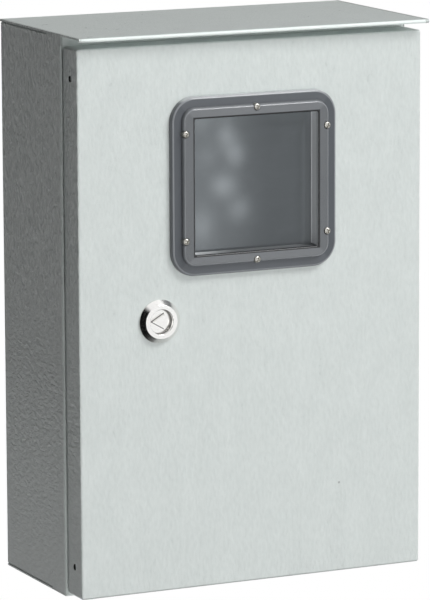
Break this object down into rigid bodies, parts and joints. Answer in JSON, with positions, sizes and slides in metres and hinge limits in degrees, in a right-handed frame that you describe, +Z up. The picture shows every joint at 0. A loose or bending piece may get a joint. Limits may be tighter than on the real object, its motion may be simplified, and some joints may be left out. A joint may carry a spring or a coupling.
{
  "type": "electrical enclosure",
  "caption": "Wall-mounted sheet-steel electrical enclosure with a rain canopy, a hinged door with a viewing window and a triangular-key lock, and a mounting plate with a device rail inside",
  "frame": {"origin": "centre of the four wall holes, on the back face of the body", "axes": "+Z up, the front looks along -Y and +Y points into the wall, +X to the right seen from the front"},
  "size_m": [0.3023, 0.1591, 0.454],
  "materials": {
    "paint": "light grey textured powder coat",
    "zinc_sheet": "galvanised sheet",
    "zinc_fixings": "bright zinc plate",
    "lock_chrome": "chromed zinc casting",
    "bezel": "satin dark grey moulding",
    "pane": "smoky clear moulding",
    "rubber": "matt black rubber",
    "foam": "cellular rubber",
    "washer": "natural nylon"
  },
  "bodies": {
    "body": {"body_wrap": "paint", "canopy": "paint", "top_rim": "paint", "bottom_panel": "paint", "cable_grommet_left": "rubber", "cable_grommet_centre": "rubber", "cable_grommet_right": "rubber", "hinge_lug_upper": "paint", "hinge_lug_lower": "paint", "mounting_plate": "zinc_sheet", "plate_studs": "zinc_fixings", "plate_spacers": "zinc_fixings", "plate_nuts": "zinc_fixings", "device_rail": "zinc_sheet", "rail_screws": "zinc_fixings", "earth_stud": "zinc_fixings"},
    "door": {"door_panel": "paint", "door_seal": "foam", "window_frame": "bezel", "window_pane": "pane", "window_gasket": "foam", "window_screws": "zinc_fixings", "window_nuts": "zinc_fixings", "hinge_bracket_upper": "zinc_fixings", "hinge_bracket_lower": "zinc_fixings", "hinge_pin_upper": "zinc_fixings", "hinge_pin_lower": "zinc_fixings", "hinge_washers": "washer", "hinge_screws": "zinc_fixings", "lock_housing": "lock_chrome", "lock_ring": "rubber", "lock_nut": "lock_chrome", "door_earth_stud": "zinc_fixings", "door_earth_nut": "zinc_fixings"},
    "lock": {"lock_insert": "lock_chrome", "lock_cam": "zinc_fixings", "lock_cam_screw": "zinc_fixings"}
  },
  "joints": [
    {"name": "door_hinge", "type": "hinge", "parent": "body", "child": "door", "pos_m": [0.1424, -0.1315, 0], "axis": [0, 0, 1], "range_deg": [0, 110]},
    {"name": "lock_turn", "type": "hinge", "parent": "door", "child": "lock", "pos_m": [-0.0809, -0.149, -0.00325], "axis": [0, 1, 0], "range_deg": [0, 90]}
  ]
}
